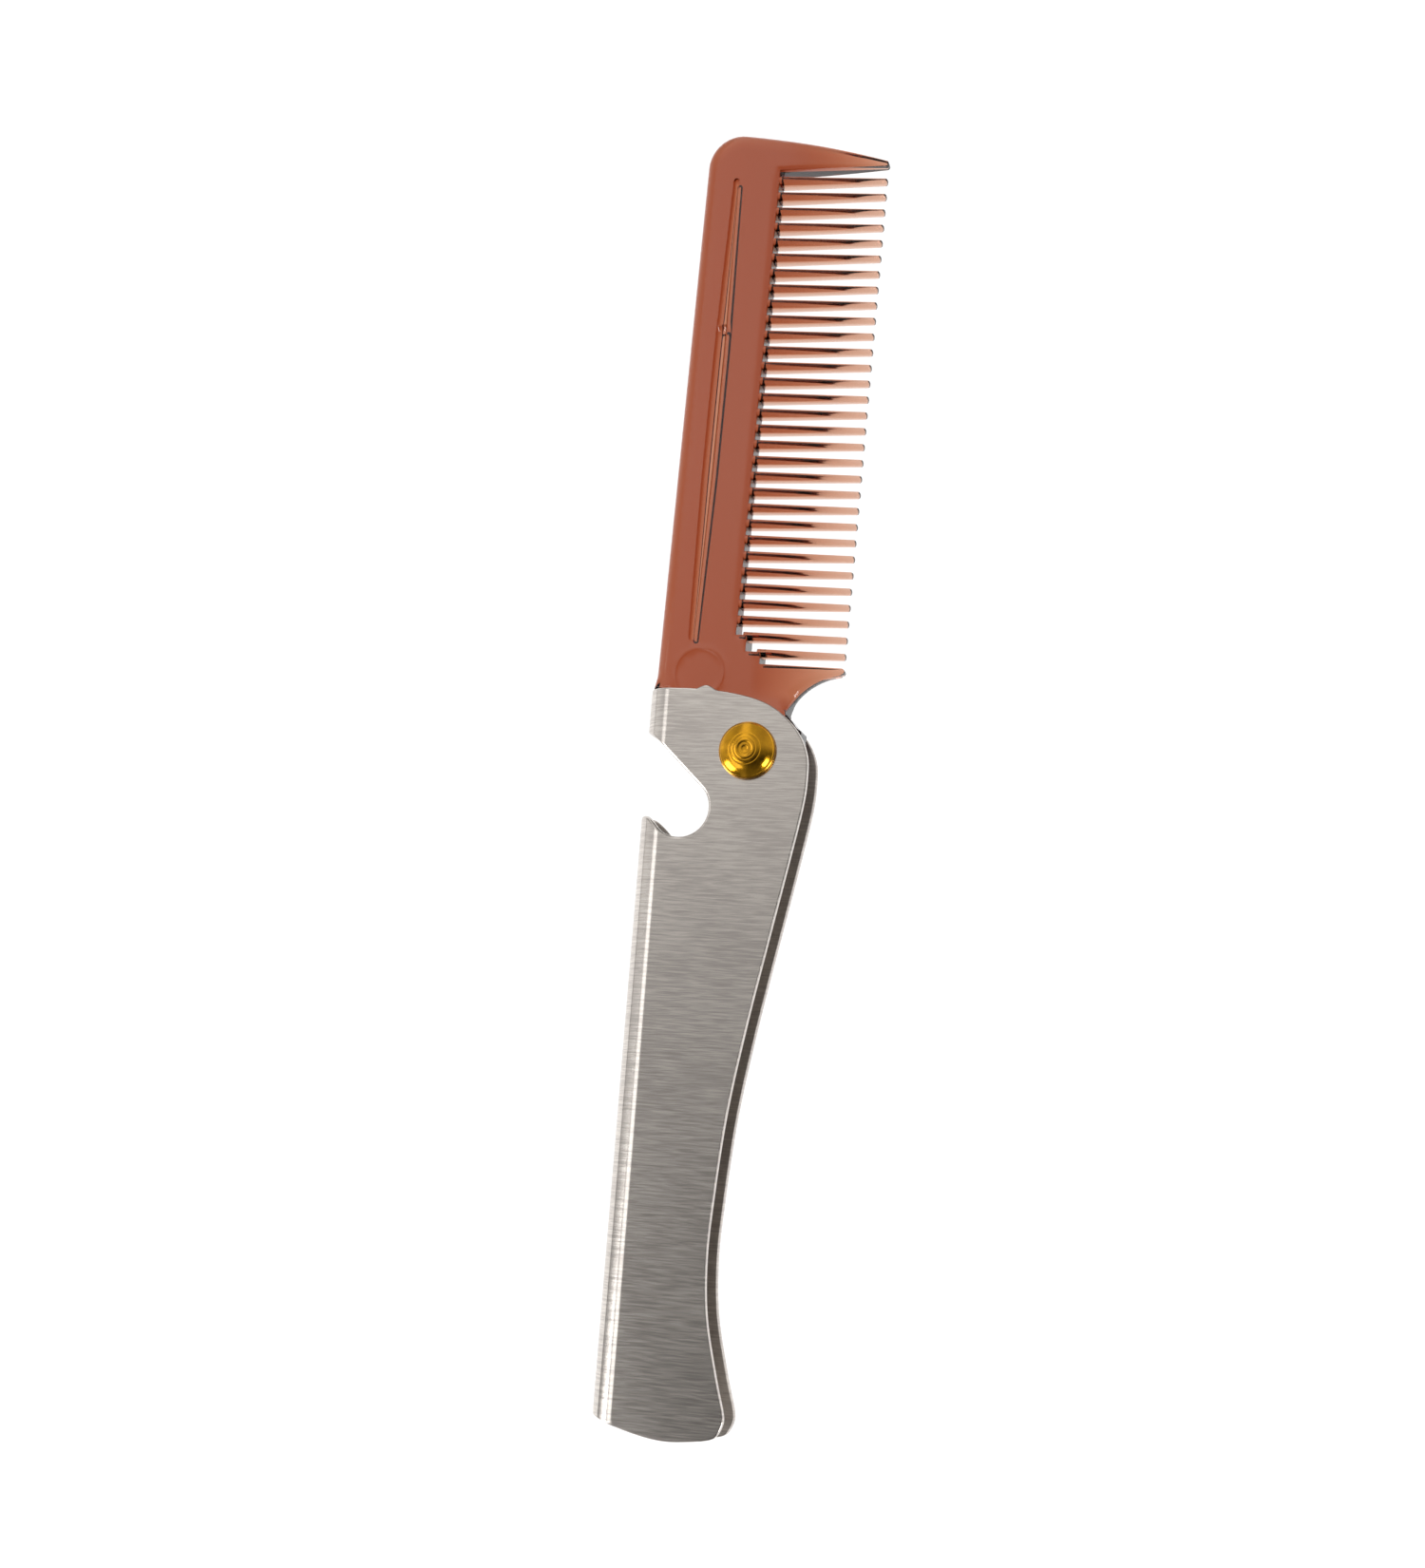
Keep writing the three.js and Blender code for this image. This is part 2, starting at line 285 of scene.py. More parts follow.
def inward(loop):
    """Unit normals into the material, which lies on the left of the line, and their mitre lengths."""
    def left(step):
        turned = np.column_stack((-step[:, 1], step[:, 0]))
        return turned / np.linalg.norm(turned, axis=1)[:, None]
    before = left(loop - np.roll(loop, 1, axis=0))
    after = left(np.roll(loop, -1, axis=0) - loop)
    normal = before + after
    normal /= np.linalg.norm(normal, axis=1)[:, None]
    stretch = 1 / np.clip((normal * before).sum(1), 0.6, 1)
    return normal, stretch


def interior_grid(loops, columns, rows, margin):
    """Grid points inside the first loop, outside the others and clear of them all."""
    x, y = np.meshgrid(columns, rows)
    points = np.column_stack((x.ravel(), y.ravel()))
    points = points[inside(loops[0], points)]
    for hole in loops[1:]:
        points = points[~inside(hole, points)]
    for loop in loops:
        points = points[nearest(loop, points) > margin]
    return points


def triangles(loops, extra):
    """Fills the first loop, less the others, with triangles over the loops' points and the extra ones."""
    coords = np.vstack((*loops, extra))
    edges = []
    first = 0
    for loop in loops:
        count = len(loop)
        edges += [(first + i, first + (i + 1) % count) for i in range(count)]
        first += count
    flat = [Vector(point) for point in coords]
    _, _, faces, origin, _, _ = delaunay_2d_cdt(flat, edges, [], 1, 1e-7)
    faces = np.array([[origin[i][0] for i in face] for face in faces])
    centres = coords[faces].mean(1)
    for hole in loops[1:]:
        outside = ~inside(hole, centres)
        faces, centres = faces[outside], centres[outside]
    return faces


def band(first, second, count):
    """Quads between two closed rows of points, given by their first indices."""
    return [
        (first + i, first + (i + 1) % count, second + (i + 1) % count, second + i)
        for i in range(count)
    ]


# ---- meshes -----------------------------------------------------------------------------------------

def placed(mesh, lean=0.0):
    """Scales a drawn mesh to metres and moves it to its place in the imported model."""
    mesh.transform(Matrix.Translation(PIVOT) @ Matrix.Rotation(-lean, 4, "Z") @ Matrix.Scale(MM, 4))


def new_object(name, mesh):
    made = bpy.data.objects.new(name, mesh)
    bpy.context.scene.collection.objects.link(made)
    return made


def mesh_from(name, points, faces):
    mesh = bpy.data.meshes.new(name)
    mesh.from_pydata([tuple(p) for p in points], [], [tuple(int(i) for i in face) for face in faces])
    work = bmesh.new()
    work.from_mesh(mesh)
    bmesh.ops.recalc_face_normals(work, faces=work.faces)
    work.to_mesh(mesh)
    work.free()
    mesh.shade_smooth()
    return mesh


def with_modifiers(obj):
    """Applies an object's modifiers to its mesh."""
    bpy.context.view_layer.update()
    evaluated = obj.evaluated_get(bpy.context.evaluated_depsgraph_get())
    mesh = bpy.data.meshes.new_from_object(evaluated)
    obj.modifiers.clear()
    obj.data = mesh


def weighted_normals(obj):
    """Flat faces shade flat and their rounded edges smooth; edges over the angle stay sharp."""
    obj.data.shade_smooth()
    work = bmesh.new()
    work.from_mesh(obj.data)
    for edge in work.edges:
        edge.smooth = len(edge.link_faces) == 2 and edge.calc_face_angle() < SHARP_ANGLE
    work.to_mesh(obj.data)
    work.free()
    weighted = obj.modifiers.new("weighted", "WEIGHTED_NORMAL")
    weighted.keep_sharp = True
    with_modifiers(obj)


def turned_mesh(name, profile, closed_ring=False):
    """A solid of revolution about Z. The profile starts and ends on the axis, or is a closed ring."""
    points, faces = [], []
    rows = []
    for radius, z in profile:
        if radius < 1e-6:
            rows.append([len(points)] * TURN_STEPS)
            points.append((0, 0, z))
        else:
            rows.append(list(range(len(points), len(points) + TURN_STEPS)))
            for i in range(TURN_STEPS):
                angle = 2 * math.pi * i / TURN_STEPS
                points.append((radius * math.cos(angle), radius * math.sin(angle), z))
    if closed_ring:
        rows.append(rows[0])
    for row, following in zip(rows, rows[1:]):
        for i in range(TURN_STEPS):
            j = (i + 1) % TURN_STEPS
            corners = [row[i], row[j], following[j], following[i]]
            faces.append(list(dict.fromkeys(corners)))
    return mesh_from(name, points, faces)


# ---- handle -----------------------------------------------------------------------------------------

def across(x):
    """Distance across the flat sheet from the middle of the spine to a place at x on a plate."""
    if x >= BEND_X:
        return BEND_LENGTH + x - BEND_X
    return HALF_HANDLE * math.acos(min(1.0, (BEND_X - x) / HALF_HANDLE))


def plate_outline():
    """The front plate's edge from the middle of the spine at the top round to the bottom."""
    top = line((SPINE_X, HANDLE_TOP), (-9, HANDLE_TOP), 0.4)
    side = spline([
        (-9, HANDLE_TOP), (-4.3, 8.3), (-0.2, 7.55), (2.8, 6.4), (5.3, 4.55), (7.2, 2.3), (8.3, -0.2),
        (8.55, -2.8), (8.3, -7), (6.92, -14.9), (4.7, -26.6), (2.56, -38.2), (0.83, -49.7), (-0.1, -61),
        (-0.38, -68.5), (0.2, -75.8), (1.9, -83), (3.25, -87.6),
    ], 0.45)
    corner = spline([(3.25, -87.6), (3.45, -89.3), (2.5, -91.2), (0.6, -91.85)], 0.25)
    bottom = spline([(0.6, -91.85), (-4.8, -92.3), (-11.2, -91.1), (SPINE_X - 5, -88.2)], 0.4)
    bottom = bottom[bottom[:, 0] > SPINE_X]
    outline = joined(top, side, corner, bottom, np.array([(SPINE_X, bottom[-1][1])]))
    return np.array([(across(x), y) for x, y in outline])


def notch_outline():
    """Half of the notch's edge in the flat sheet, from the middle of the spine at the top."""
    slant_foot = arc(NOTCH_CENTRE, NOTCH_RADIUS, NOTCH_START, NOTCH_END, 0.3)
    slant_top = (across(NOTCH_SLANT[0]), NOTCH_SLANT[1])
    throat = np.array([(across(x), y) for x, y in slant_foot])
    slope = (throat[0][1] - slant_top[1]) / (throat[0][0] - slant_top[0])
    control = (slant_top[0] + (NOTCH_CROWN - slant_top[1]) / slope, NOTCH_CROWN)
    hook = (across(HOOK_TIP[0]), HOOK_TIP[1])
    hook_round = curve(throat[-1], (hook[0] + 0.5, hook[1] + 0.1), (hook[0] - 0.7, hook[1] + 0.1), 0.25)
    return joined(
        curve((0, NOTCH_CROWN), control, slant_top, 0.3),
        line(slant_top, throat[0], 0.4),
        throat,
        hook_round,
        line(hook_round[-1], (0, HOOK_TIP[1] + 0.1), 0.3),
    )


def mirrored_loop(half):
    """A loop that is the same on both plates, from its half on the front plate."""
    other = half[::-1].copy()
    other[:, 0] *= -1
    return closed(joined(half, other))


def on_sheet(flat):
    """Points (across, along, depth) of the flat sheet bent into the handle's U section."""
    s, y, depth = flat.T
    angle = np.clip(s / HALF_HANDLE, -math.pi / 2, math.pi / 2)
    beyond = np.maximum(np.abs(s) - BEND_LENGTH, 0)
    radius = HALF_HANDLE - depth
    return np.column_stack((BEND_X - radius * np.cos(angle) + beyond, y, radius * np.sin(angle)))


def on_sheet_direction(s, flat):
    """Directions (across, along, outward) of the flat sheet at s, bent with it."""
    angle = np.clip(s / HALF_HANDLE, -math.pi / 2, math.pi / 2)
    sine, cosine = np.sin(angle), np.cos(angle)
    side, along, out = flat.T
    return np.column_stack((side * sine - out * cosine, along, side * cosine + out * sine))


def edge_rows(radius, thickness, steps=4):
    """(inset, depth, outward, face) from the outer face round the edge to the inner face."""
    rows = []
    for k in range(steps + 1):
        angle = math.pi / 2 * (1 - k / steps)
        inset, depth = radius * (1 - math.cos(angle)), radius * (1 - math.sin(angle))
        rows.append((inset, depth, math.cos(angle), math.sin(angle)))
    return rows + [(i, thickness - d, o, -f) for i, d, o, f in reversed(rows)]


def handle_loops():
    """The flat sheet's edges, each with its radius: the outline, the notch and the rivet's holes."""
    outline = plate_outline()
    nib = outline.copy()
    on_top = (outline[:, 1] > TOP_EDGE_LOW) & (outline[:, 0] > BEND_LENGTH)
    rise = np.clip(1 - ((outline[:, 0] - across(NIB_X)) / NIB_HALF) ** 2, 0, 1) ** NIB_ROUNDNESS
    nib[:, 1] += np.where(on_top, NIB_HEIGHT * rise, 0)
    back = outline[::-1].copy()
    back[:, 0] *= -1
    outer = closed(joined(nib, back))[::-1]
    hole = arc((across(0), 0), PLATE_HOLE, 0, 2 * math.pi, 0.3)[:-1][::-1]
    back_hole = hole.copy()
    back_hole[:, 0] = -back_hole[:, 0]
    notch = mirrored_loop(notch_outline())
    return (outer, PLATE_EDGE), (notch, NOTCH_EDGE), (hole, PLATE_EDGE), (back_hole[::-1], PLATE_EDGE)


def sheet_points(face_loops, plate_end):
    """Inner points of the flat sheet: close rows across the bend, and a wider grid on each plate."""
    bend = np.linspace(-BEND_LENGTH, BEND_LENGTH, BEND_COLUMNS)
    bend_rows = np.arange(GRID_LOW, GRID_HIGH, BEND_GRID)
    plate = np.arange(BEND_LENGTH + PLATE_GRID / 2, plate_end, PLATE_GRID)
    plate_rows = np.arange(GRID_LOW, GRID_HIGH, PLATE_GRID)
    return np.vstack((
        interior_grid(face_loops, bend, bend_rows, BEND_GRID / 5),
        interior_grid(face_loops, plate, plate_rows, PLATE_GRID / 5),
        interior_grid(face_loops, -plate, plate_rows, PLATE_GRID / 5),
    ))


def mark_sheet(mesh, flat):
    """Lays the flat sheet out on a map for the brush lines, and marks its inner face."""
    sheet_uv = mesh.uv_layers.new(name="sheet")
    corners = np.zeros(len(mesh.loops), int)
    mesh.loops.foreach_get("vertex_index", corners)
    unrolled = np.column_stack(((flat[:, 1] + SHEET_MAP_LOW) / SHEET_MAP, flat[:, 0] / SHEET_MAP + 0.5))
    sheet_uv.data.foreach_set("uv", unrolled[corners].astype(np.float32).ravel())
    inner = mesh.attributes.new(INNER_FACE, "FLOAT", "POINT")
    inner.data.foreach_set("value", (flat[:, 2] > SHEET / 2).astype(np.float32))


def handle_mesh():
    """The flat sheet with rounded edges, bent into the handle."""
    loops = handle_loops()
    flat, normals, faces, face_loops = [], [], [], []
    count = 0
    ends = []
    for loop, radius in loops:
        into, stretch = inward(loop)
        starts = []
        for inset, depth, outward, face in edge_rows(radius, SHEET):
            starts.append(count)
            moved = loop + into * (inset * stretch)[:, None]
            flat.append(np.column_stack((moved, np.full(len(loop), depth))))
            normals.append(np.column_stack((-into * outward, np.full(len(loop), face))))
            count += len(loop)
        face_loops.append(flat[-1][:, :2])
        for a, b in zip(starts, starts[1:]):
            faces += band(a, b, len(loop))
        ends.append((starts[0], starts[-1], len(loop)))

    extra = sheet_points(face_loops, loops[0][0][:, 0].max())
    fill = triangles(face_loops, extra)
    for side, (depth, face) in enumerate(((0, 1), (SHEET, -1))):
        flat.append(np.column_stack((extra, np.full(len(extra), depth))))
        normals.append(np.tile((0, 0, face), (len(extra), 1)))
        index = np.concatenate([
            *(np.arange(size) + (first, last)[side] for first, last, size in ends),
            np.arange(len(extra)) + count,
        ])
        faces += [tuple(f) for f in index[fill]]
        count += len(extra)

    flat, normals = np.vstack(flat), np.vstack(normals)
    mesh = mesh_from("steel_handle", on_sheet(flat), faces)
    mark_sheet(mesh, flat)
    placed(mesh)
    bent = on_sheet_direction(flat[:, 0], normals)
    bent /= np.linalg.norm(bent, axis=1)[:, None]
    mesh.normals_split_custom_set_from_vertices([tuple(n) for n in bent])
    return mesh


# ---- comb -------------------------------------------------------------------------------------------

def comb_outline():
    upper_tip = (TOOTH_TIP - GUARD_TIP, GUARD_TOP_Y - GUARD_TIP)
    lower_tip = (TOOTH_TIP - GUARD_TIP, GUARD_EDGE - GUARD_TIP)
    corner = (COMB_BACK + COMB_CORNER, COMB_TOP - COMB_CORNER)
    root_top = (TOOTH_ROOT, FIRST_TOOTH + TOOTH_COUNT * TOOTH_PITCH - LAST_GAP_CUT * TOOTH_PITCH)
    steps = [FIRST_TOOTH, FIRST_TOOTH + TOOTH_PITCH]
    slant = (TANG_RADIUS * math.cos(TANG_SLANT), TANG_RADIUS * math.sin(TANG_SLANT))
    slant_top = (TANG_BACK, slant[1] - (TANG_BACK - slant[0]) / math.tan(TANG_SLANT))
    tang = arc((0, 0), TANG_RADIUS, TANG_ROUND_START, TANG_SLANT, 0.3)
    angles = np.arctan2(tang[:, 1], tang[:, 0])
    tang *= 1 + NUB_HEIGHT / TANG_RADIUS * np.exp(-((angles - NUB_ANGLE) / NUB_SPREAD) ** 2)[:, None]
    guard = arc(GUARD_ARC, GUARD_ARC_RADIUS, GUARD_ARC_START, GUARD_ARC_END, 0.35)
    clockwise = joined(
        line((COMB_BACK, TANG_SHOULDER), (COMB_BACK, corner[1])),
        arc(corner, COMB_CORNER, math.pi, math.pi / 2),
        curve((corner[0], COMB_TOP), TOP_CONTROL, (upper_tip[0], GUARD_TOP_Y)),
        arc(upper_tip, GUARD_TIP, math.pi / 2, -math.pi / 2, 0.12),
        line((upper_tip[0], upper_tip[1] - GUARD_TIP), root_top),
        line(root_top, (TOOTH_ROOT, steps[1])),
        line((TOOTH_ROOT, steps[1]), (SHORT_ROOT_2, steps[1])),
        line((SHORT_ROOT_2, steps[1]), (SHORT_ROOT_2, steps[0])),
        line((SHORT_ROOT_2, steps[0]), (SHORT_ROOT_1, steps[0])),
        line((SHORT_ROOT_1, steps[0]), (SHORT_ROOT_1, GUARD_EDGE)),
        line((SHORT_ROOT_1, GUARD_EDGE), (lower_tip[0], GUARD_EDGE)),
        arc(lower_tip, GUARD_TIP, math.pi / 2, -math.pi / 2, 0.12),
        guard,
        tang,
        line(slant, slant_top),
        line(slant_top, (TANG_BACK, TANG_SHOULDER)),
    )
    return closed(clockwise)[::-1]


def edge_radius(x, y):
    """Radius on the comb's edges: large along its back, its top and under the lower guard, smaller
    at the gaps' ends and under the upper guard, and small everywhere else."""
    along_back = x < COMB_BACK + HAIR
    along_top = (y > GUARD_TOP_Y - HAIR) & (x > TOOTH_ROOT - TOP_EDGE_REACH)
    width = np.interp(x, [TOOTH_ROOT, TOOTH_TIP], [BACK_EDGE, TIP_EDGE])
    corner = (y > COMB_TOP - COMB_CORNER) & (x < TOOTH_ROOT)
    radius = np.where(along_back | corner, BACK_EDGE, ROOT_EDGE)
    radius = np.where(along_top & ~corner, width, radius)
    under_guard = (y < GUARD_EDGE - 0.5) & (x > SHORT_ROOT_1 + 0.5) & (y > TANG_RADIUS * 0.85)
    guard_width = np.interp(x, [UNDER_GUARD_X, TOOTH_TIP], [BACK_EDGE, TIP_EDGE])
    radius = np.where(under_guard, guard_width, radius)
    gap_end = (np.abs(x - TOOTH_ROOT) < HAIR) & (y > FIRST_TOOTH + 2 * TOOTH_PITCH)
    low_side = (y > GUARD_TOP_Y - 3) & (y < GUARD_TOP_Y - 1.5 * GUARD_TIP)
    under_upper_guard = (x > TOOTH_ROOT - HAIR) & low_side
    gap_width = np.interp(x, [TOOTH_ROOT, TOOTH_TIP], [GAP_EDGE, TIP_EDGE])
    return np.where(gap_end | under_upper_guard, gap_width, radius)


def thickness_share(x, y):
    """The guards grow thinner towards their tips; the rest has the full thickness."""
    along = np.clip((x - TOOTH_ROOT) / (TOOTH_TIP - TOOTH_ROOT), 0, 1)
    upper = 1 - (1 - GUARD_TIP_DEPTH) * along ** GUARD_TAPER
    low_along = np.clip((x - GUARD_CREASE) / (TOOTH_TIP - GUARD_CREASE), 0, 1)
    fade = np.clip((y - LOWER_GUARD_LOW) / LOWER_GUARD_BLEND, 0, 1)
    lower = 1 - (1 - GUARD_TIP_DEPTH) * low_along * fade
    return np.where(y > COMB_TOP / 2, upper, lower)


def groove_strip():
    """The groove's points across and along: x, y and depth, with one point at each end."""
    length = GROOVE_END - GROOVE_START
    share = (1 - np.cos(np.linspace(0, math.pi, GROOVE_ROWS))) / 2
    y = GROOVE_START + length * share
    half = GROOVE_HALF * np.interp(y, *zip(*GROOVE_WIDTHS))
    from_end = np.minimum(y - GROOVE_START, GROOVE_END - y)
    into_end = np.clip(from_end / GROOVE_ROUND, 0, 1)
    half *= np.sqrt(np.clip(1 - (1 - into_end) ** 2, 0, 1))
    ridge = 1 - RIDGE_SHARE * np.exp(-((y - RIDGE_Y) / RIDGE_SPREAD) ** 2)
    depth = GROOVE_DEPTH * ridge * into_end ** 0.5
    u = np.linspace(-1, 1, GROOVE_COLUMNS)
    u = np.sign(u) * np.abs(u) ** COLUMN_CROWDING
    section = (1 - np.abs(u) ** FLOOR_EXPONENT) ** WALL_EXPONENT
    x = GROOVE_X + half[:, None] * u[None, :]
    z = depth[:, None] * section[None, :]
    return x, np.repeat(y[:, None], len(u), axis=1), z


def comb_radii(outer):
    """The edge's radius at each point of the outline, blended, and small at sharp inner corners."""
    radii = edge_radius(outer[:, 0], outer[:, 1])
    for _ in range(SMOOTHING_ROUNDS):
        radii = (np.roll(radii, 1) + radii + np.roll(radii, -1)) / 3
    throat = TANG_RADIUS * np.array((math.cos(TANG_ROUND_START), math.sin(TANG_ROUND_START)))
    for corner in ((COMB_BACK, TANG_SHOULDER), throat):
        away = np.hypot(outer[:, 0] - corner[0], outer[:, 1] - corner[1])
        radii = np.minimum(radii, ROOT_EDGE + CORNER_SLOPE * away)
    return radii


def rounded_edge(loop, radii, first):
    """Rows of points round an edge, from the flat face to the side, and the faces between them."""
    into, stretch = inward(loop)
    rows, faces = [], []
    for step in range(EDGE_STEPS + 1):
        angle = math.pi / 2 * (1 - step / EDGE_STEPS)
        inset = radii * (1 - math.cos(angle))
        moved = loop + into * (inset * stretch)[:, None]
        rows.append(np.column_stack((moved, HALF_COMB - radii * (1 - math.sin(angle)))))
    for step in range(EDGE_STEPS):
        start = first + step * len(loop)
        faces += band(start, start + len(loop), len(loop))
    return np.vstack(rows), faces


def groove_mesh(first):
    """The groove's points, its faces and the indices of its rim."""
    x, y, z = groove_strip()
    rows, columns = x.shape
    grid = np.arange(rows * columns).reshape(rows, columns) + first
    grid[0, :] = grid[0, columns // 2]
    grid[-1, :] = grid[-1, columns // 2]
    faces = []
    for i in range(rows - 1):
        for k in range(columns - 1):
            corners = [grid[i, k], grid[i, k + 1], grid[i + 1, k + 1], grid[i + 1, k]]
            faces.append(tuple(dict.fromkeys(int(c) for c in corners)))
    rim = np.concatenate((grid[:, 0], grid[-2:0:-1, -1]))
    return np.column_stack((x.ravel(), y.ravel(), HALF_COMB - z.ravel())), faces, rim


def face_points(cap_loops):
    """Inner points of the comb's flat face: a grid, and rows that follow the ring mark."""
    grid_x = np.arange(-14, 12, COMB_GRID)
    grid_y = np.arange(-7, 91, COMB_GRID)
    spread = interior_grid(cap_loops, grid_x, grid_y, COMB_GRID_MARGIN)
    away = np.abs(np.hypot(*(spread - RING_MARK).T) - RING_RADIUS) > RING_CLEARANCE
    ring = np.vstack([
        arc(RING_MARK, RING_RADIUS + RING_ROW_GAP * step, 0, 2 * math.pi, 0.3)[:-1] for step in range(-3, 4)
    ])
    ring = ring[inside(cap_loops[0], ring) & (nearest(cap_loops[0], ring) > RING_MARGIN)]
    flat = np.vstack((spread[away], ring))
    return np.column_stack((flat, np.full(len(flat), HALF_COMB)))


def with_rear(front, faces, walls):
    """Adds the rear face behind the front one and the walls between them, and thins the guards."""
    count = len(front)
    distance = np.hypot(front[:, 0] - RING_MARK[0], front[:, 1] - RING_MARK[1]) - RING_RADIUS
    raised = np.exp(-(distance / RING_SPREAD) ** 2) * (front[:, 2] > HALF_COMB - 1e-6)
    rear = front * (1, 1, -1)
    front[:, 2] += RING_HEIGHT * raised
    points = np.vstack((front, rear))
    points[:, 2] *= thickness_share(points[:, 0], points[:, 1])
    faces = faces + [tuple(i + count for i in face[::-1]) for face in faces]
    for first, size in walls:
        faces += band(first, first + count, size)
    return points, faces


def comb_body():
    """The comb without its teeth."""
    outer = comb_outline()
    hole = arc((0, 0), WASHER_HOLE, 0, 2 * math.pi, 0.3)[:-1][::-1]
    block, faces, caps, walls = [], [], [], []
    count = 0
    for loop, radii in ((outer, comb_radii(outer)), (hole, np.full(len(hole), HOLE_EDGE))):
        points, edge_faces = rounded_edge(loop, radii, count)
        block.append(points)
        faces += edge_faces
        caps.append(np.arange(len(loop)) + count)
        count += len(points)
        walls.append((count - len(loop), len(loop)))
    points, groove_faces, rim = groove_mesh(count)
    block.append(points)
    faces += groove_faces
    caps.append(rim)
    count += len(points)

    positions = np.vstack(block)
    cap_loops = [positions[cap][:, :2] for cap in caps]
    inner = face_points(cap_loops)
    caps.append(np.arange(len(inner)) + count)
    fill = np.concatenate(caps)[triangles(cap_loops, inner[:, :2])]
    faces += [tuple(int(i) for i in f) for f in fill]
    mesh = mesh_from("amber_comb", *with_rear(np.vstack((positions, inner)), faces, walls))
    work = bmesh.new()
    work.from_mesh(mesh)
    loose = [v for v in work.verts if not v.link_faces]
    bmesh.ops.delete(work, geom=loose, context="VERTS")
    work.to_mesh(mesh)
    work.free()
    return mesh


def teeth_mesh():
    """All teeth, each a tapering prong with a rounded oblong section and a rounded end."""
    angles = np.linspace(0, 2 * math.pi, TOOTH_SIDES, endpoint=False)
    last = STRAIGHT_ROWS + ROUND_ROWS - 1
    power = 2 / TOOTH_SECTION
    across_section = np.sign(np.cos(angles)) * np.abs(np.cos(angles)) ** power
    through_section = np.sign(np.sin(angles)) * np.abs(np.sin(angles)) ** power
    points, faces = [], []
    for i in range(TOOTH_COUNT):
        root = SHORT_ROOT_1 if i == 0 else SHORT_ROOT_2 if i == 1 else TOOTH_ROOT
        first = len(points)
        straight = np.linspace(root - TOOTH_EMBED, TOOTH_TIP - TOOTH_ROUND, STRAIGHT_ROWS)
        rounded = TOOTH_TIP - TOOTH_ROUND * (1 - np.sin(np.linspace(ROUND_START, ROUND_END, ROUND_ROWS)))
        for x in np.concatenate((straight, rounded)):
            along = (x - TOOTH_ROOT) / (TOOTH_TIP - TOOTH_ROOT)
            past = max(0.0, (x - TOOTH_TIP + TOOTH_ROUND) / TOOTH_ROUND)
            closing = math.sqrt(max(0.0, 1 - past ** END_ROUNDNESS))
            half_width = closing * np.interp(along, [0, 1], [ROOT_WIDTH, TIP_WIDTH]) / 2
            half_depth = closing * np.interp(along, [0, 1], [ROOT_DEPTH, TIP_DEPTH]) / 2
            y = FIRST_TOOTH + i * TOOTH_PITCH + half_width * across_section
            z = half_depth * through_section
            points += [(x, b, c) for b, c in zip(y, z)]
        for row in range(last):
            faces += band(first + TOOTH_SIDES * row, first + TOOTH_SIDES * (row + 1), TOOTH_SIDES)
        faces.append(tuple(first + k for k in range(TOOTH_SIDES)))
        faces.append(tuple(first + TOOTH_SIDES * last + k for k in range(TOOTH_SIDES)))
    return mesh_from("teeth", points, faces)


def comb_object():
    comb = new_object("amber_comb", comb_body())
    teeth = new_object("teeth", teeth_mesh())
    union = comb.modifiers.new("teeth", "BOOLEAN")
    union.operation = "UNION"
    union.solver = "MANIFOLD"
    union.object = teeth
    with_modifiers(comb)
    bpy.data.objects.remove(teeth)
    placed(comb.data, COMB_LEAN)
    weighted_normals(comb)
    return comb


# ---- rivet and washers ------------------------------------------------------------------------------

def rivet_profile():
    """Domed head with turned rings round its apex, and the post under it."""
    under = HALF_HANDLE + FACE_GAP
    profile = [(0, -HALF_HANDLE), (POST_RADIUS - 0.1, -HALF_HANDLE), (POST_RADIUS, -HALF_HANDLE + 0.1)]
    profile += [(POST_RADIUS, under - 0.02), (POST_RADIUS + 0.02, under)]
    profile += [(HEAD_RADIUS - 0.12, under), (HEAD_RADIUS - 0.03, under + 0.04)]
    profile += [(HEAD_RADIUS, under + 0.12)]
    for angle in np.linspace(math.pi / 2, 0, HEAD_ROWS):
        radius = (HEAD_RADIUS - 0.01) * math.sin(angle)
        share = (radius / HEAD_RADIUS) ** HEAD_ROUNDNESS
        height = under + HEAD_RIM + (HEAD_HEIGHT - HEAD_RIM) * math.sqrt(1 - share)
        for place, spread, depth in TURNED_RINGS:
            height -= depth * math.exp(-((radius - place) / spread) ** 2)
        for place, spread, depth in SUNK_STEPS:
            height -= depth / (1 + math.exp((radius - place) / spread))
        profile.append((radius, height))
    return profile


def cap_profile():
    """The low rear cap: a flat face, a bevelled rim and a shallow peening mark."""
    top = -HALF_HANDLE - FACE_GAP
    bottom = top - CAP_HEIGHT
    bevel = (HEAD_RADIUS - CAP_FLAT) / 2
    profile = [(0, bottom + PEEN_DEPTH)]
    for radius in np.linspace(0.2, PEEN_RADIUS, 8):
        profile.append((radius, bottom + PEEN_DEPTH * (1 - (radius / PEEN_RADIUS) ** 2)))
    profile += [(CAP_FLAT - 0.2, bottom), (CAP_FLAT, bottom + 0.02)]
    for step in range(7):
        angle = math.pi / 2 * step / 6
        radius = HEAD_RADIUS - bevel + bevel * math.sin(angle)
        profile.append((radius, bottom + CAP_RIM + (CAP_HEIGHT - 2 * CAP_RIM) * (1 - math.cos(angle))))
    return profile + [(HEAD_RADIUS, top - 0.08), (HEAD_RADIUS - 0.08, top), (0, top)]


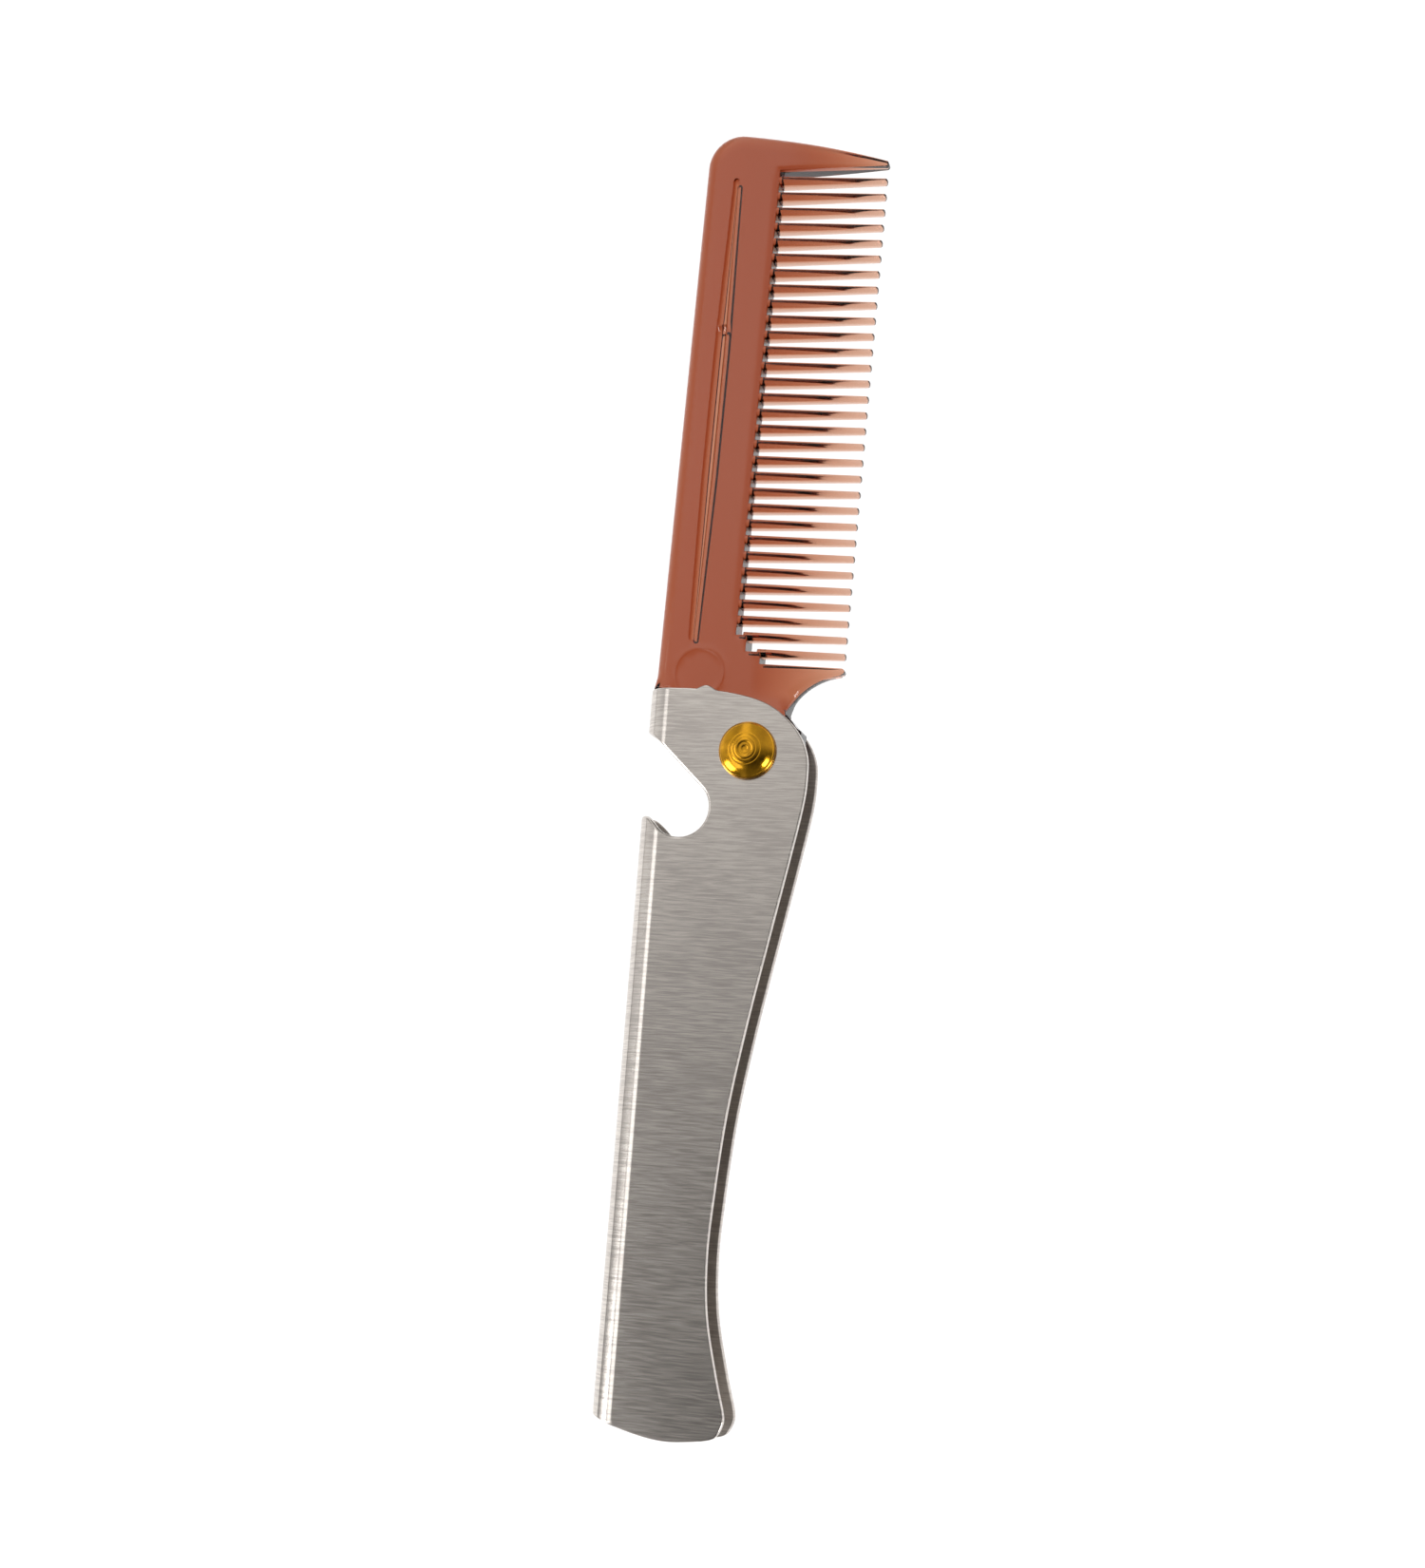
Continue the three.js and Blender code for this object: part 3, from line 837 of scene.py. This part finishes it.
def washer_profile(side):
    """A washer with rounded edges, on the front of the tang or behind it."""
    near = HALF_COMB + FACE_GAP
    far = HALF_HANDLE - SHEET - FACE_GAP
    low, high = (near, far) if side > 0 else (-far, -near)
    inner, outer = WASHER_INNER_EDGE, WASHER_OUTER_EDGE
    profile = []
    for radius, centre_r, centre_z, start in (
        (inner, WASHER_HOLE + inner, low + inner, math.pi),
        (outer, WASHER_RADIUS - outer, low + outer, 1.5 * math.pi),
        (outer, WASHER_RADIUS - outer, high - outer, 0),
        (inner, WASHER_HOLE + inner, high - inner, math.pi / 2),
    ):
        for step in range(5):
            angle = start + math.pi / 2 * step / 4
            profile.append((centre_r + radius * math.cos(angle), centre_z + radius * math.sin(angle)))
    return profile


def turned_object(name, profile, closed_ring=False):
    made = new_object(name, turned_mesh(name, profile, closed_ring))
    placed(made.data)
    weighted_normals(made)
    return made


# ---- materials --------------------------------------------------------------------------------------

# A dark and a light tint for each, or the plastic's colour where a millimetre of it absorbs light
STEEL_TINTS = ((0.565, 0.52, 0.485), (0.735, 0.685, 0.635))
BRASS_TINTS = ((0.58, 0.27, 0.010), (0.86, 0.42, 0.012))
NYLON_TINTS = ((0.62, 0.60, 0.54), (0.74, 0.72, 0.66))
FLOOR_TINTS = ((0.12, 0.12, 0.12), (0.14, 0.14, 0.14))
AMBER = (0.725, 0.35, 0.125, 1)
AMBER_DENSITY = 1000.0

# How many times the brush lines repeat along the sheet's map and across it
FINE_LINES = (640, 30, 1)
COARSE_LINES = (330, 18, 1)
PATCHES = (14, 10, 1)
INNER_ROUGHNESS = 0.3            # added on the sheet's inner face

# The floor's painted glow, emitted as a painted pool of light: its strength in the middle, its strength at
# the edge, the radius where it starts to fade, and where the fade ends
FLOOR_PAINTED_GLOW = 1.02
FLOOR_PAINTED_GLOW_EDGE = 0.15
PAINTED_GLOW_RADIUS = 0.19
PAINTED_GLOW_FADE_RADIUS = 0.42


def add(tree, kind, inputs=None, **settings):
    """A node with its settings; an input is either a value or a socket to link from."""
    made = tree.nodes.new(kind)
    for name, value in settings.items():
        setattr(made, name, value)
    for name, value in (inputs or {}).items():
        if isinstance(value, bpy.types.NodeSocket):
            tree.links.new(value, made.inputs[name])
        else:
            made.inputs[name].default_value = value
    return made


def new_material(name):
    material = bpy.data.materials.new(name)
    material.use_nodes = True
    tree = material.node_tree
    return material, tree, tree.nodes["Principled BSDF"]


def mapped(tree, value, low, high, from_low=0.3, from_high=0.7):
    """A value carried from one range to another; noise lies mostly between 0.3 and 0.7."""
    ranged = add(tree, "ShaderNodeMapRange", {
        "Value": value, "From Min": from_low, "From Max": from_high, "To Min": low, "To Max": high,
    })
    return ranged.outputs["Result"]


def link_tint(tree, tone, tints, shader):
    """Colours a shader between a dark and a light tint."""
    dark, light = tints
    mixed = add(tree, "ShaderNodeMix", {"Factor": tone}, data_type="RGBA")
    mixed.inputs[6].default_value = (*dark, 1)
    mixed.inputs[7].default_value = (*light, 1)
    tree.links.new(mixed.outputs[2], shader.inputs["Base Color"])


def noise_at(tree, vector, scale, stretch, detail):
    """Noise over a map or a place, squeezed by the stretch along each axis."""
    moved = add(tree, "ShaderNodeMapping", {"Vector": vector, "Scale": stretch})
    made = add(tree, "ShaderNodeTexNoise", {
        "Vector": moved.outputs["Vector"], "Scale": scale, "Detail": detail, "Roughness": 0.6,
    })
    return made.outputs["Fac"]


def brushed_steel():
    """Stainless sheet brushed across the handle: fine lines in colour, roughness and height."""
    material, tree, shader = new_material("brushed_steel")
    sheet = add(tree, "ShaderNodeUVMap", uv_map="sheet").outputs["UV"]
    fine = noise_at(tree, sheet, 1.0, FINE_LINES, 2.0)
    coarse = noise_at(tree, sheet, 1.0, COARSE_LINES, 3.0)
    patches = noise_at(tree, sheet, 1.0, PATCHES, 2.0)
    lines = add(tree, "ShaderNodeMath", {0: fine, 1: coarse}, operation="ADD").outputs[0]
    soft = mapped(tree, patches, -0.08, 0.08)
    both = add(tree, "ShaderNodeMath", {0: lines, 1: soft}, operation="ADD").outputs[0]
    tone = mapped(tree, both, 0.0, 1.0, 0.82, 1.18)
    link_tint(tree, tone, STEEL_TINTS, shader)
    inner = add(tree, "ShaderNodeAttribute", attribute_name=INNER_FACE).outputs["Fac"]
    dulled = add(tree, "ShaderNodeMath", {0: inner, 1: INNER_ROUGHNESS}, operation="MULTIPLY").outputs[0]
    brushed = mapped(tree, lines, 0.19, 0.23, 0.7, 1.3)
    roughness = add(tree, "ShaderNodeMath", {0: brushed, 1: dulled}, operation="ADD").outputs[0]
    tree.links.new(roughness, shader.inputs["Roughness"])
    bump = add(tree, "ShaderNodeBump", {"Height": fine, "Strength": 0.07, "Distance": 0.00001})
    tree.links.new(bump.outputs["Normal"], shader.inputs["Normal"])
    tangent = add(tree, "ShaderNodeTangent", direction_type="UV_MAP", uv_map="sheet")
    tree.links.new(tangent.outputs["Tangent"], shader.inputs["Tangent"])
    shader.inputs["Metallic"].default_value = 1.0
    shader.inputs["Anisotropic"].default_value = 0.8
    return material


def amber_plastic():
    """Clear brown-amber moulded plastic, coloured by its thickness."""
    material, tree, shader = new_material("amber_plastic")
    place = add(tree, "ShaderNodeTexCoord").outputs["Object"]
    haze = noise_at(tree, place, 180.0, (1, 1, 1), 4.0)
    scratches = noise_at(tree, place, 1.0, (900, 160, 400), 2.0)
    tree.links.new(mapped(tree, haze, 0.05, 0.1), shader.inputs["Roughness"])
    bump = add(tree, "ShaderNodeBump", {"Height": scratches, "Strength": 0.06, "Distance": 0.00002})
    tree.links.new(bump.outputs["Normal"], shader.inputs["Normal"])
    shader.inputs["Base Color"].default_value = (1, 1, 1, 1)
    shader.inputs["Transmission Weight"].default_value = 1.0
    shader.inputs["IOR"].default_value = 1.49
    absorption = add(tree, "ShaderNodeVolumeAbsorption", {"Color": AMBER, "Density": AMBER_DENSITY})
    output = tree.nodes["Material Output"]
    tree.links.new(absorption.outputs["Volume"], output.inputs["Volume"])
    return material


def turned_brass():
    """Polished brass with uneven tarnish and light wear."""
    material, tree, shader = new_material("turned_brass")
    place = add(tree, "ShaderNodeTexCoord").outputs["Object"]
    tarnish = noise_at(tree, place, 420.0, (1, 1, 1), 5.0)
    wear = noise_at(tree, place, 1500.0, (1, 1, 1), 3.0)
    tone = mapped(tree, tarnish, 0.0, 1.0)
    link_tint(tree, tone, BRASS_TINTS, shader)
    tree.links.new(mapped(tree, wear, 0.12, 0.24), shader.inputs["Roughness"])
    bump = add(tree, "ShaderNodeBump", {"Height": wear, "Strength": 0.12, "Distance": 0.00003})
    tree.links.new(bump.outputs["Normal"], shader.inputs["Normal"])
    shader.inputs["Metallic"].default_value = 1.0
    shader.inputs["Coat Weight"].default_value = 0.3
    shader.inputs["Coat Roughness"].default_value = 0.1
    return material


def washer_nylon():
    """Plain natural nylon, slightly mottled."""
    material, tree, shader = new_material("washer_nylon")
    place = add(tree, "ShaderNodeTexCoord").outputs["Object"]
    mottle = noise_at(tree, place, 600.0, (1, 1, 1), 3.0)
    link_tint(tree, mapped(tree, mottle, 0.0, 1.0), NYLON_TINTS, shader)
    tree.links.new(mapped(tree, mottle, 0.45, 0.6), shader.inputs["Roughness"])
    return material


def pale_floor():
    """A white table that glows with painted light: its emission is brightest round the object and strong
    enough that shadows on it nearly vanish.
    """
    material, tree, shader = new_material("pale_floor")
    place = add(tree, "ShaderNodeTexCoord").outputs["Object"]
    grain = noise_at(tree, place, 30.0, (1, 1, 1), 2.0)
    link_tint(tree, mapped(tree, grain, 0.0, 1.0), FLOOR_TINTS, shader)
    # painted light: the floor emits a pool of light round the object that fades outward, washing out the
    # object's shadows
    reach = add(tree, "ShaderNodeVectorMath", {0: place}, operation="LENGTH").outputs["Value"]
    painted_glow = mapped(tree, reach, FLOOR_PAINTED_GLOW, FLOOR_PAINTED_GLOW_EDGE, PAINTED_GLOW_RADIUS, PAINTED_GLOW_FADE_RADIUS)
    tree.links.new(painted_glow, shader.inputs["Emission Strength"])
    shader.inputs["Roughness"].default_value = 0.8
    shader.inputs["Specular IOR Level"].default_value = 0.0
    shader.inputs["Emission Color"].default_value = (1, 1, 1, 1)
    return material


# ---- studio -----------------------------------------------------------------------------------------

CAMERA_AZIMUTH, CAMERA_ELEVATION, CAMERA_ROLL = 57.143, 72.082, 53.959
CAMERA_PLACE = (80.357, -58.646, 317.865)
LENS = 54.512
SENSOR = 36.0
CLIP_START = 0.01
FLOOR_HALF = 3                   # half the floor's side, in metres
LIGHT_DISTANCE = 0.9             # of every light, in metres

# Brightness of the sky by its direction along Y, and the share of it left by its direction along X
SKY_ALONG = (
    (-1, 0.35), (-0.5, 0.2), (-0.2, 0.08), (0, 0.18), (0.12, 0.42), (0.2, 0.78), (0.3, 1.15), (1, 1.0),
)
SKY_SIDEWAYS = (
    (-1, 1.0), (-0.8, 0.5), (-0.42, 0.35), (-0.34, 1.0), (-0.19, 1.0), (-0.1, 0.45), (0.3, 0.4), (1, 0.6),
)


def camera():
    """The camera's place and turn, with azimuth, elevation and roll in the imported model's frame."""
    azimuth = math.radians(CAMERA_AZIMUTH)
    elevation = math.radians(CAMERA_ELEVATION)
    roll = math.radians(CAMERA_ROLL)
    back = Vector((
        math.sin(azimuth) * math.cos(elevation), -math.cos(azimuth) * math.cos(elevation),
        math.sin(elevation),
    ))
    level = (-back).cross(Vector((0, 0, 1))).normalized()
    upright = level.cross(-back)
    up = upright * math.cos(roll) + level * math.sin(roll)
    right = (-back).cross(up)
    data = bpy.data.cameras.new("camera")
    data.lens = LENS
    data.sensor_width = SENSOR
    data.clip_start = CLIP_START
    made = new_object("camera", data)
    turn = Matrix((right, up, back)).transposed().to_4x4()
    made.matrix_world = Matrix.Translation(Vector(CAMERA_PLACE) * MM) @ turn
    bpy.context.scene.camera = made


def floor():
    corners = [(FLOOR_HALF * x, FLOOR_HALF * y, 0) for x, y in ((-1, -1), (1, -1), (1, 1), (-1, 1))]
    mesh = mesh_from("studio_floor", corners, [(0, 1, 2, 3)])
    made = new_object("studio_floor", mesh)
    mesh.materials.append(pale_floor())


def softbox(name, direction, width, height, brightness):
    """An area light that faces the object from a direction, as bright as that many white floors."""
    data = bpy.data.lights.new(name, "AREA")
    data.shape = "RECTANGLE"
    data.size, data.size_y = width, height
    data.energy = brightness * math.pi * width * height
    made = new_object(name, data)
    toward = Vector(direction).normalized()
    made.location = toward * LIGHT_DISTANCE
    made.rotation_euler = toward.to_track_quat("Z", "Y").to_euler()


def brightness_ramp(tree, position, stops):
    """A grey ramp over -1 to 1, with a level at each of the stops."""
    ramp = add(tree, "ShaderNodeValToRGB", {"Fac": mapped(tree, position, 0, 1, -1, 1)})
    elements = ramp.color_ramp.elements
    elements.remove(elements[1])
    for place, level in stops[1:]:
        elements.new((place + 1) / 2).color = (level, level, level, 1)
    elements[0].position = 0
    elements[0].color = (stops[0][1],) * 3 + (1,)
    return ramp.outputs["Color"]


def world():
    """A studio dome: bright towards +Y and dim towards -Y, and stepped from side to side, so that the
    plates, the bend and the comb each mirror a level of their own."""
    made = bpy.data.worlds.new("studio")
    bpy.context.scene.world = made
    made.use_nodes = True
    tree = made.node_tree
    background = tree.nodes["Background"]
    direction = add(tree, "ShaderNodeTexCoord").outputs["Generated"]
    parts = add(tree, "ShaderNodeSeparateXYZ", {"Vector": direction})
    along = brightness_ramp(tree, parts.outputs["Y"], SKY_ALONG)
    sideways = brightness_ramp(tree, parts.outputs["X"], SKY_SIDEWAYS)
    strength = add(tree, "ShaderNodeMath", {0: along, 1: sideways}, operation="MULTIPLY").outputs[0]
    tree.links.new(strength, background.inputs["Strength"])
    background.inputs["Color"].default_value = (1.0, 0.99, 0.975, 1)


def dress(obj, material, body, slot, *nodes):
    obj.data.materials.clear()
    obj.data.materials.append(material)
    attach(obj, body)
    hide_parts(*nodes)


bpy.context.scene.view_settings.view_transform = "Standard"
camera()
floor()
world()
softbox("spine_light", (-0.49, -0.115, 0.86), 0.7, 0.25, 1.7)
softbox("spine_fill", (-0.88, -0.115, 0.46), 0.7, 0.80, 0.36)
softbox("left_light", (-0.76, -0.45, 0.48), 0.36, 0.50, 7.0)
softbox("right_light", (0.72, -0.42, 0.52), 0.30, 0.50, 7.0)

handle = new_object("steel_handle", handle_mesh())
dress(handle, brushed_steel(), "handle", "steel", "handle_channel")

dress(comb_object(), amber_plastic(), "comb", "amber_plastic", "comb_head")

brass = turned_brass()
dress(turned_object("brass_rivet", rivet_profile()), brass, "handle", "brass", "rivet_front")
dress(turned_object("brass_rear_cap", cap_profile()), brass, "handle", "brass", "rivet_rear_cap")

nylon = washer_nylon()
for place, side in (("front", 1), ("rear", -1)):
    ring = turned_object("nylon_washer_" + place, washer_profile(side), closed_ring=True)
    dress(ring, nylon, "handle", "washer_nylon", "washer_" + place)
